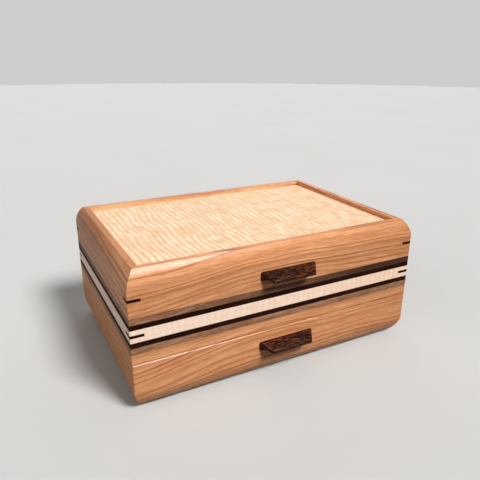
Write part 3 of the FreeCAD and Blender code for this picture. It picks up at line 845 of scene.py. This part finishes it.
# Where boards pass from pale wood to a darker tone, in millimetres from the
# middle of the chest: the front ones, the drawer front, the left side, the left
# of the lid, and the maple band. On the front ones, the drawer front and the band
# this is the darker heartwood. On the left boards it is painted shade, darker
# towards the back of the shaded left side. Most show only a part of the change.
FRONT_HEART = (40.0, 420.0)
DRAWER_HEART = (60.0, 400.0)
LEFT_SIDE_PAINTED_SHADE = (-200.0, 800.0)
LEFT_RAILS_PAINTED_SHADE = (-90.0, 20.0)
BAND_HEART = (20.0, 190.0)


@dataclass
class Case:
    """The boards of the case, its panels, runners, stop and feet."""

    boards: dict[str, Cut] = field(
        default_factory=lambda: {
            # The darker range on side_left and rim_left is painted shade, darker towards the back
            # of the shaded left side.
            "side_left": Cut(Grain.ALONG_Y, (-150.0, -60.0), 0.02, 310.0, heart_and_shade=LEFT_SIDE_PAINTED_SHADE),
            "side_right": Cut(Grain.ALONG_Y, (148.0, 90.0), -0.02, 730.0),
            "back_board": Cut(Grain.ALONG_X, (96.0, -40.0), 0.02, 1510.0),
            "front_rail": Cut(Grain.ALONG_X, (-92.0, 0.0), 0.02, 2140.0, heart_and_shade=FRONT_HEART),
            "rim_front": Cut(Grain.ALONG_X, (-92.0, 40.0), 0.01, 0.0, 0.0004, FRONT_HEART),
            "rim_back": Cut(Grain.ALONG_X, (96.0, 60.0), 0.02, 620.0),
            "rim_left": Cut(Grain.ALONG_Y, (-148.0, 60.0), 0.02, 210.0, heart_and_shade=LEFT_RAILS_PAINTED_SHADE),
            "rim_right": Cut(Grain.ALONG_Y, (148.0, 60.0), 0.03, 960.0),
        }
    )

    def build(self) -> None:
        """Dress the case."""
        dress_cherry(self.boards)
        sheet = BIRCH.material("panel", Cut(Grain.ALONG_X_FLAT, (40.0, -60.0)))
        dress("base_panel", sheet)
        dress("compartment_floor", sheet)
        runner = MAPLE_PLAIN.material("runner", Cut(Grain.ALONG_Y, (0.0, -60.0)))
        dress("drawer_runner_left", runner)
        dress("drawer_runner_right", runner)
        dress("drawer_stop", MAPLE_PLAIN.material("stop", Cut(Grain.ALONG_X, (-60.0, 0.0))))
        dress("foot_pads", RUBBER.material())


@dataclass
class Banding:
    """The dark strips, the maple band and the keys across its mitres."""

    def build(self) -> None:
        """Dress the banding."""
        hearts = {"lower": (60.0, 800.0), "upper": (-170.0, 110.0)}
        for number, (place, heart_and_shade) in enumerate(hearts.items()):
            pith = (20.0, 10.0 - 60.0 * number)
            strip = Cut(Grain.ROUND_THE_CASE, pith, 0.03, 400.0 * number)
            dress(f"walnut_{place}", WALNUT.material(place, replace(strip, heart_and_shade=heart_and_shade)))
            dress(f"wenge_{place}", WENGE.material(place, strip))
        for side, grain in (
            ("front", Grain.ALONG_X),
            ("right", Grain.ALONG_Y),
            ("back", Grain.ALONG_X),
            ("left", Grain.ALONG_Y),
        ):
            seed = 140.0 if grain is Grain.ALONG_X else 520.0
            cut = Cut(grain, (0.0, 0.0), 0.0, seed, heart_and_shade=BAND_HEART)
            dress(f"maple_band_{side}", MAPLE_BAND.material(side, cut))
        dress("band_splines", WENGE.material("band_keys", Cut(Grain.ALONG_X, (0.0, 40.0))))


@dataclass
class Lid:
    """The rails, the panel and the keys of the lid."""

    rails: dict[str, Cut] = field(
        default_factory=lambda: {
            "lid_front": Cut(Grain.ALONG_X, (-92.0, 40.0), 0.01, 0.0, 0.0004, FRONT_HEART),
            "lid_back": Cut(Grain.ALONG_X, (96.0, 60.0), 0.02, 620.0),
            # The darker range on lid_left is painted shade, darker towards the back of the shaded
            # left side.
            "lid_left": Cut(Grain.ALONG_Y, (-148.0, 60.0), 0.02, 210.0, heart_and_shade=LEFT_RAILS_PAINTED_SHADE),
            "lid_right": Cut(Grain.ALONG_Y, (148.0, 60.0), 0.03, 960.0),
        }
    )

    def build(self) -> None:
        """Dress the lid."""
        dress_cherry(self.rails)
        panel = Cut(Grain.ALONG_X_FLAT, (90.0, -50.0), 0.05)
        dress("lid_panel", MAPLE_PANEL.material("top", panel))
        dress("lid_splines", WENGE.material("lid_keys", Cut(Grain.ALONG_X, (0.0, 70.0))))


@dataclass
class Drawer:
    """The drawer front, the box behind it and its dividers."""

    def build(self) -> None:
        """Dress the drawer."""
        front = Cut(Grain.ALONG_X, (-88.0, -22.0), 0.04, 3340.0, 0.0005, DRAWER_HEART)
        dress("drawer_front", CHERRY.material("drawer_front", front))
        for number, side in enumerate(("left", "right")):
            cut = Cut(Grain.ALONG_Y, (60.0, -30.0), 0.02, 260.0 * number)
            wood = MAPLE_PLAIN.material(f"drawer_{side}", cut)
            dress(f"drawer_side_{side}", wood)
            dress(f"drawer_divider_{side}", wood)
        cut = Cut(Grain.ALONG_X, (60.0, -30.0), 0.02, 120.0)
        across = MAPLE_PLAIN.material("drawer_back", cut)
        dress("drawer_back", across)
        dress("drawer_divider_middle", across)
        sheet = Cut(Grain.ALONG_X_FLAT, (80.0, -40.0))
        dress("drawer_bottom", BIRCH.material("drawer_bottom", sheet))


@dataclass
class Pulls:
    """The two finger pulls."""

    def build(self) -> None:
        """Dress the pulls."""
        for number, node in enumerate(("drawer_pull", "lid_pull")):
            cut = Cut(Grain.ALONG_X, (-112.0, 22.0 + 84.0 * number), 0.04, 90.0 * number)
            dress(node, ROSEWOOD.material(node, cut))


@dataclass
class Hinges:
    """The brass hinges."""

    def build(self) -> None:
        """Dress the hinges."""
        brass = BRASS.material()
        for side in ("left", "right"):
            for part in ("leaf_lower", "leaf_upper", "pin"):
                dress(f"hinge_{part}_{side}", brass)


@dataclass
class Screws:
    """Slotted countersunk screws, in place of the plain CAD ones.

    Sizes are in metres. The slots point different ways: the first is turned by
    first_turn and each next one by turn_step more, in radians.
    """

    node: str
    body: str
    slot: str
    centres: list[Vector]
    axis: Vector
    head_radius: float
    shank_radius: float
    length: float
    slot_width: float = 0.0006
    slot_depth: float = 0.0005
    sides: int = 32
    first_turn: float = 0.7
    turn_step: float = 1.1
    tolerance: float = 1e-7

    def one(self, shape: Shape) -> list[Vert]:
        """Make one screw with the top of its head at height 0.

        Args:
            shape: the bmesh that takes it.

        Returns:
            Its vertices, some of them more than once.
        """
        made = bmesh.ops.create_circle(
            shape, cap_ends=False, segments=self.sides, radius=self.head_radius
        )
        verts = list(made["verts"])
        edges = list({edge for vert in verts for edge in vert.link_edges})
        profile = (
            (self.shank_radius, self.shank_radius - self.head_radius),
            (self.shank_radius, self.shank_radius - self.length),
        )
        radius = self.head_radius
        height = 0.0
        for next_radius, next_height in profile:
            grown = bmesh.ops.extrude_edge_only(shape, edges=edges)
            ring = of_kind(grown["geom"], Vert)
            edges = of_kind(grown["geom"], Edge)
            factor = next_radius / radius
            bmesh.ops.scale(shape, vec=(factor, factor, 1.0), verts=ring)
            bmesh.ops.translate(shape, vec=(0.0, 0.0, next_height - height), verts=ring)
            verts += ring
            radius, height = next_radius, next_height
        tip = bmesh.ops.create_circle(shape, cap_ends=True, segments=self.sides, radius=radius)
        bmesh.ops.translate(shape, vec=(0.0, 0.0, height), verts=tip["verts"])
        head = bmesh.ops.create_circle(
            shape, cap_ends=True, segments=self.sides, radius=self.head_radius
        )
        verts += list(tip["verts"]) + list(head["verts"])
        verts += self.cut_slot(shape, list(head["verts"]))
        return verts

    def cut_slot(self, shape: Shape, head: list[Vert]) -> list[Vert]:
        """Sink a slot across a head.

        Args:
            shape: the bmesh that holds the screw.
            head: the vertices of the head's flat face.

        Returns:
            The new vertices.
        """
        faces = list({face for vert in head for face in vert.link_faces})
        added: list[Vert] = []
        for side in (-1, 1):
            edges = {edge for face in faces for edge in face.edges}
            verts = {vert for face in faces for vert in face.verts}
            cut = bmesh.ops.bisect_plane(
                shape,
                geom=[*faces, *edges, *verts],
                dist=self.tolerance,
                plane_co=(0.0, side * self.slot_width / 2, 0.0),
                plane_no=(0.0, 1.0, 0.0),
            )
            faces = of_kind(cut["geom"], Face)
            added += of_kind(cut["geom_cut"], Vert)
        inside = self.slot_width / 4
        middle = [face for face in faces if abs(face.calc_center_median().y) < inside]
        sunk = bmesh.ops.extrude_face_region(shape, geom=middle)
        floor = of_kind(sunk["geom"], Vert)
        bmesh.ops.translate(shape, vec=(0.0, 0.0, -self.slot_depth), verts=floor)
        bmesh.ops.delete(shape, geom=middle, context="FACES_ONLY")
        return added + floor

    def build(self, material: bpy.types.Material) -> None:
        """Make all the screws of one node as one piece.

        Args:
            material: their finish.
        """
        shape = bmesh.new()
        aim = self.axis.to_track_quat("Z", "Y").to_matrix().to_4x4()
        for number, centre in enumerate(self.centres):
            verts = list(dict.fromkeys(self.one(shape)))
            spin = Matrix.Rotation(self.first_turn + self.turn_step * number, 4, "Z")
            bmesh.ops.transform(shape, matrix=Matrix.Translation(centre) @ aim @ spin, verts=verts)
        piece = finish_mesh(shape, self.node + "_slotted", material)
        piece.data.polygons.foreach_set("use_smooth", [False] * len(piece.data.polygons))
        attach(piece, self.body)
        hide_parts(self.node)
        LOG.info("made %s", piece.name)


@dataclass
class Lining:
    """A card wrapped in suede, with soft edges and a slightly uneven face.

    Sizes are in metres, and waves are those of the unevenness in one metre.
    """

    node: str
    body: str
    step: float = 0.004
    edge: float = 0.0006
    unevenness: float = 0.00012
    waves: float = 60.0
    tolerance: float = 1e-6

    def build(self, material: bpy.types.Material) -> None:
        """Make the lining where its CAD node lies.

        Args:
            material: its suede.
        """
        low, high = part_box(self.node)
        size = high - low
        shape = bmesh.new()
        bmesh.ops.create_cube(shape, size=1.0)
        middle = (low + high) / 2
        bmesh.ops.scale(shape, vec=size, verts=shape.verts)
        bmesh.ops.translate(shape, vec=middle, verts=shape.verts)
        bmesh.ops.bevel(
            shape,
            geom=list(shape.edges),
            offset=self.edge,
            affect="EDGES",
            segments=3,
            profile=0.5,
            material=-1,
        )
        for axis, normal in enumerate(((1.0, 0.0, 0.0), (0.0, 1.0, 0.0))):
            steps = int(size[axis] / self.step)
            for number in range(1, steps):
                point = middle.copy()
                point[axis] = low[axis] + size[axis] * number / steps
                bmesh.ops.bisect_plane(
                    shape,
                    geom=[*shape.verts, *shape.edges, *shape.faces],
                    dist=self.tolerance,
                    plane_co=point,
                    plane_no=normal,
                )
        for vert in shape.verts:
            if vert.co.z > high.z - self.tolerance:
                vert.co.z -= self.unevenness * (1 + noise.noise(vert.co * self.waves))
        piece = finish_mesh(shape, self.node + "_suede", material)
        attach(piece, self.body)
        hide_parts(self.node)
        LOG.info("made %s", piece.name)


@dataclass
class RingRolls:
    """Padded rolls wrapped in suede, which grip rings between them.

    Sizes are in metres. The ends are rounded over end_round and get thinner by
    the share end_taper. Waves are those of the unevenness in one metre.
    """

    node: str = "ring_rolls"
    body: str = "case"
    count: int = 7
    sides: int = 28
    stations: int = 26
    end_round: float = 0.0022
    end_taper: float = 0.3
    unevenness: float = 0.00018
    waves: float = 90.0

    def roll(self, shape: Shape, start: Vector, length: float, radius: float) -> None:
        """Add one roll with rounded ends.

        Args:
            shape: the bmesh that takes it.
            start: the middle of its left end.
            length: how long it is.
            radius: its radius at the middle.
        """
        made = bmesh.ops.create_circle(shape, cap_ends=False, segments=self.sides, radius=radius)
        verts = list(made["verts"])
        turn = Matrix.Rotation(math.pi / 2, 4, "Y")
        bmesh.ops.transform(shape, matrix=Matrix.Translation(start) @ turn, verts=verts)
        edges = list({edge for vert in verts for edge in vert.link_edges})
        rings = [verts]
        for _ in range(self.stations):
            grown = bmesh.ops.extrude_edge_only(shape, edges=edges)
            verts = of_kind(grown["geom"], Vert)
            edges = of_kind(grown["geom"], Edge)
            bmesh.ops.translate(shape, vec=(length / self.stations, 0.0, 0.0), verts=verts)
            rings.append(verts)
        for index, ring in enumerate(rings):
            place, size = self.station(index / self.stations, length)
            for vert in ring:
                spoke = vert.co - Vector((vert.co.x, start.y, start.z))
                wobble = self.unevenness * noise.noise(vert.co * self.waves)
                vert.co = Vector((start.x + place, start.y, start.z)) + spoke * size
                vert.co += spoke.normalized() * (wobble - self.unevenness)
        for ring in (rings[0], rings[-1]):
            near = {edge for vert in ring for edge in vert.link_edges}
            rim = [edge for edge in near if all(vert in ring for vert in edge.verts)]
            bmesh.ops.contextual_create(shape, geom=rim)

    def station(self, share: float, length: float) -> tuple[float, float]:
        """Place one ring of a roll, closer to the next one near the ends.

        Args:
            share: the ring's number as a share of all.
            length: the roll's length.

        Returns:
            How far along the roll it lies, and its radius as a share.
        """
        eased = 0.5 - 0.5 * math.cos(math.pi * share)
        place = length * eased
        from_end = min(place, length - place)
        if from_end >= self.end_round:
            return place, 1.0
        depth = 1 - from_end / self.end_round
        return place, 1 - self.end_taper * depth * depth

    def build(self, material: bpy.types.Material) -> None:
        """Make the rolls where their CAD node lies.

        Args:
            material: their suede.
        """
        low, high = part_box(self.node)
        radius = (high.z - low.z) / 2
        pitch = (high.y - low.y - 2 * radius) / (self.count - 1)
        shape = bmesh.new()
        for index in range(self.count):
            start = Vector((low.x, low.y + radius + pitch * index, low.z + radius))
            self.roll(shape, start, high.x - low.x, radius)
        piece = finish_mesh(shape, "ring_rolls_suede", material)
        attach(piece, self.body)
        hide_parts(self.node)
        LOG.info("made %s", piece.name)


@dataclass
class Compartment:
    """The lining, the dividers and the ring rolls of the upper compartment."""

    short: tuple[str, ...] = ("divider_front_left", "divider_front_right", "divider_back")

    def build(self) -> None:
        """Dress the compartment and lay in its soft pieces."""
        cut = Cut(Grain.ALONG_X, (0.0, 20.0))
        dress("divider_long", MAPLE_PLAIN.material("divider_long", cut))
        wood = MAPLE_PLAIN.material("divider_short", Cut(Grain.ALONG_Y, (90.0, 10.0), 0.02, 40.0))
        for node in self.short:
            dress(node, wood)
        suede = SUEDE.material()
        Lining("compartment_lining", "case").build(suede)
        Lining("drawer_lining", "drawer").build(suede)
        RingRolls().build(suede)


@dataclass(frozen=True)
class Lamp:
    """A far soft lamp, the way to it, its strength and its width in degrees.

    A fill sheds light and makes no highlight, and a gloss lamp does the
    opposite.
    """

    name: str
    way: tuple[float, float, float]
    strength: float
    width: float
    sheds_light: bool = True
    makes_gloss: bool = True


@dataclass
class Studio:
    """The floor, the lights and the camera. Lengths are in metres."""

    target: tuple[float, float, float] = (0.00442, 0.00525, 0.11772)
    azimuth: float = -27.53
    elevation: float = 20.35
    roll: float = 0.25
    distance: float = 0.6498
    lens_mm: float = 37.57
    sensor_mm: float = 36.0
    nearest: float = 0.01
    farthest: float = 50.0
    floor_radius: float = 6.0
    floor_sides: int = 96
    floor_clouds: float = 3.0
    floor_shades: tuple[float, float] = (0.97, 1.03)
    lamps: tuple[Lamp, ...] = (
        Lamp("key", (0.25, -0.62, 0.744), 3.8, 18.0),
        Lamp("left_fill", (-0.9, -0.1, 0.42), 0.7, 50.0, makes_gloss=False),
        Lamp("back_fill", (0.4, 0.88, 0.25), 0.8, 60.0, makes_gloss=False),
        Lamp("front_gloss", (0.3, -0.36, 0.883), 3.2, 26.0, sheds_light=False),
        Lamp("overhead_gloss", (0.18, 0.42, 0.889), 11.0, 30.0, sheds_light=False),
    )
    ambient: float = 0.17
    floor_colour: str = "#C6C5C3"
    floor_bounce: str = "#5C5B5A"
    backdrop_colour: str = "#CECDCB"

    def build(self) -> None:
        """Make the whole studio."""
        self.camera()
        self.floor()
        self.lights()
        self.world()
        bpy.context.scene.view_settings.view_transform = "Standard"

    def camera(self) -> None:
        """Set the camera at the photograph's angle."""
        turn = math.radians(self.azimuth)
        rise = math.radians(self.elevation)
        back = Vector(
            (math.sin(turn) * math.cos(rise), -math.cos(turn) * math.cos(rise), math.sin(rise))
        )
        data = bpy.data.cameras.new("camera")
        data.sensor_width = self.sensor_mm
        data.lens = self.lens_mm
        data.clip_start = self.nearest
        data.clip_end = self.farthest
        camera = bpy.data.objects.new("camera", data)
        right = (-back).cross(Vector((0.0, 0.0, 1.0))).normalized()
        up = right.cross(-back)
        lean = math.radians(self.roll)
        level = right * math.cos(lean) + up * math.sin(lean)
        upright = up * math.cos(lean) - right * math.sin(lean)
        turned = Matrix((level, upright, back)).transposed().to_4x4()
        place = Vector(self.target) + back * self.distance
        camera.matrix_world = Matrix.Translation(place) @ turned
        bpy.context.scene.collection.objects.link(camera)
        bpy.context.scene.camera = camera

    def floor(self) -> None:
        """Lay a plain pale floor that sheds less light than it shows."""
        shape = bmesh.new()
        bmesh.ops.create_circle(
            shape, cap_ends=True, segments=self.floor_sides, radius=self.floor_radius
        )
        mesh = bpy.data.meshes.new("floor")
        shape.to_mesh(mesh)
        shape.free()
        floor = bpy.data.objects.new("floor", mesh)
        bpy.context.scene.collection.objects.link(floor)
        material, tree = new_material("floor_matte")
        cloud = clouds(tree, object_place(tree), self.floor_clouds, 2.0)
        shade = spread(tree, cloud, target=self.floor_shades)
        plain = linear(self.floor_colour)[:3]
        colour = add(tree, "VectorMath", {"operation": "SCALE"}, {0: plain, "Scale": shade})
        matte = {"Base Color": colour, "Roughness": 0.9, "Specular IOR Level": 0.05}
        pale = add(tree, "BsdfPrincipled", {}, matte)
        dim = add(tree, "BsdfDiffuse", {}, {"Color": linear(self.floor_bounce)})
        close_material(tree, add(tree, "MixShader", {}, {0: self.seen(tree), 1: dim, 2: pale}))
        mesh.materials.append(material)

    def seen(self, tree: Tree) -> Node:
        """Return 1 on rays that show the background itself and 0 on the light it sheds."""
        rays = add(tree, "LightPath", {}, {}).outputs
        direct = calc(tree, "MAXIMUM", rays["Is Camera Ray"], rays["Is Glossy Ray"])
        return calc(tree, "MAXIMUM", direct, rays["Is Transmission Ray"])

    def lights(self) -> None:
        """Hang the key light over the chest's right front, two fills and two for gloss."""
        for lamp in self.lamps:
            light = bpy.data.lights.new(lamp.name, "SUN")
            light.energy = lamp.strength
            light.angle = math.radians(lamp.width)
            hung = bpy.data.objects.new(lamp.name, light)
            hung.matrix_world = Vector(lamp.way).to_track_quat("Z", "Y").to_matrix().to_4x4()
            hung.visible_diffuse = lamp.sheds_light
            hung.visible_glossy = lamp.makes_gloss
            bpy.context.scene.collection.objects.link(hung)

    def world(self) -> None:
        """Set the light from all round and the pale backdrop behind the floor."""
        world = bpy.data.worlds.new("studio")
        bpy.context.scene.world = world
        world.use_nodes = True
        tree = world.node_tree
        tree.nodes.clear()
        white = (1.0, 1.0, 1.0, 1.0)
        backdrop = linear(self.backdrop_colour)
        light = add(tree, "Background", {}, {"Color": white, "Strength": self.ambient})
        pale = add(tree, "Background", {}, {"Color": backdrop, "Strength": 1.0})
        both = add(tree, "MixShader", {}, {0: self.seen(tree), 1: light, 2: pale})
        add(tree, "OutputWorld", {}, {"Surface": both})


# The screws of one hinge leaf, the distance between them in metres, and the
# radius of a screw's shank over that of its head.
LEAF_SCREWS = 3
LEAF_SCREW_PITCH = 0.015
SHANK_SHARE = 0.5


def screw_sets() -> list[Screws]:
    """Return the four sets of screws, placed by their CAD nodes."""
    sets = []
    leaves = (("hinge_screws_lower", "case", 1.0), ("hinge_screws_upper", "lid", -1.0))
    for node, body, up in leaves:
        low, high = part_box(node)
        middle_y = (low.y + high.y) / 2
        height = high.z if up > 0 else low.z
        radius = (high.y - low.y) / 2
        reach = high.x - radius
        centres = []
        for side in (-1, 1):
            for step in range(LEAF_SCREWS):
                across = side * (reach - LEAF_SCREW_PITCH * step)
                centres.append(Vector((across, middle_y, height)))
        axis = Vector((0.0, 0.0, up))
        shank = radius * SHANK_SHARE
        length = high.z - low.z
        sets.append(Screws(node, body, "brass", centres, axis, radius, shank, length))
    for node, body in (("lid_pull_screws", "lid"), ("drawer_pull_screws", "drawer")):
        low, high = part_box(node)
        radius = (high.z - low.z) / 2
        height = (low.z + high.z) / 2
        centres = [Vector((side * (high.x - radius), high.y, height)) for side in (-1, 1)]
        sets.append(
            Screws(
                node,
                body,
                "steel_screws",
                centres,
                Vector((0.0, 1.0, 0.0)),
                radius,
                radius * SHANK_SHARE,
                high.y - low.y,
                slot_width=0.0009,
                slot_depth=0.0009,
            )
        )
    return sets


def main() -> None:
    """Build the scene in order."""
    Studio().build()
    Case().build()
    Banding().build()
    Compartment().build()
    Drawer().build()
    Lid().build()
    Pulls().build()
    Hinges().build()
    brass, steel = BRASS.material(), STEEL.material()
    for screws in screw_sets():
        screws.build(brass if screws.slot == "brass" else steel)


if __name__ == "__main__":
    main()
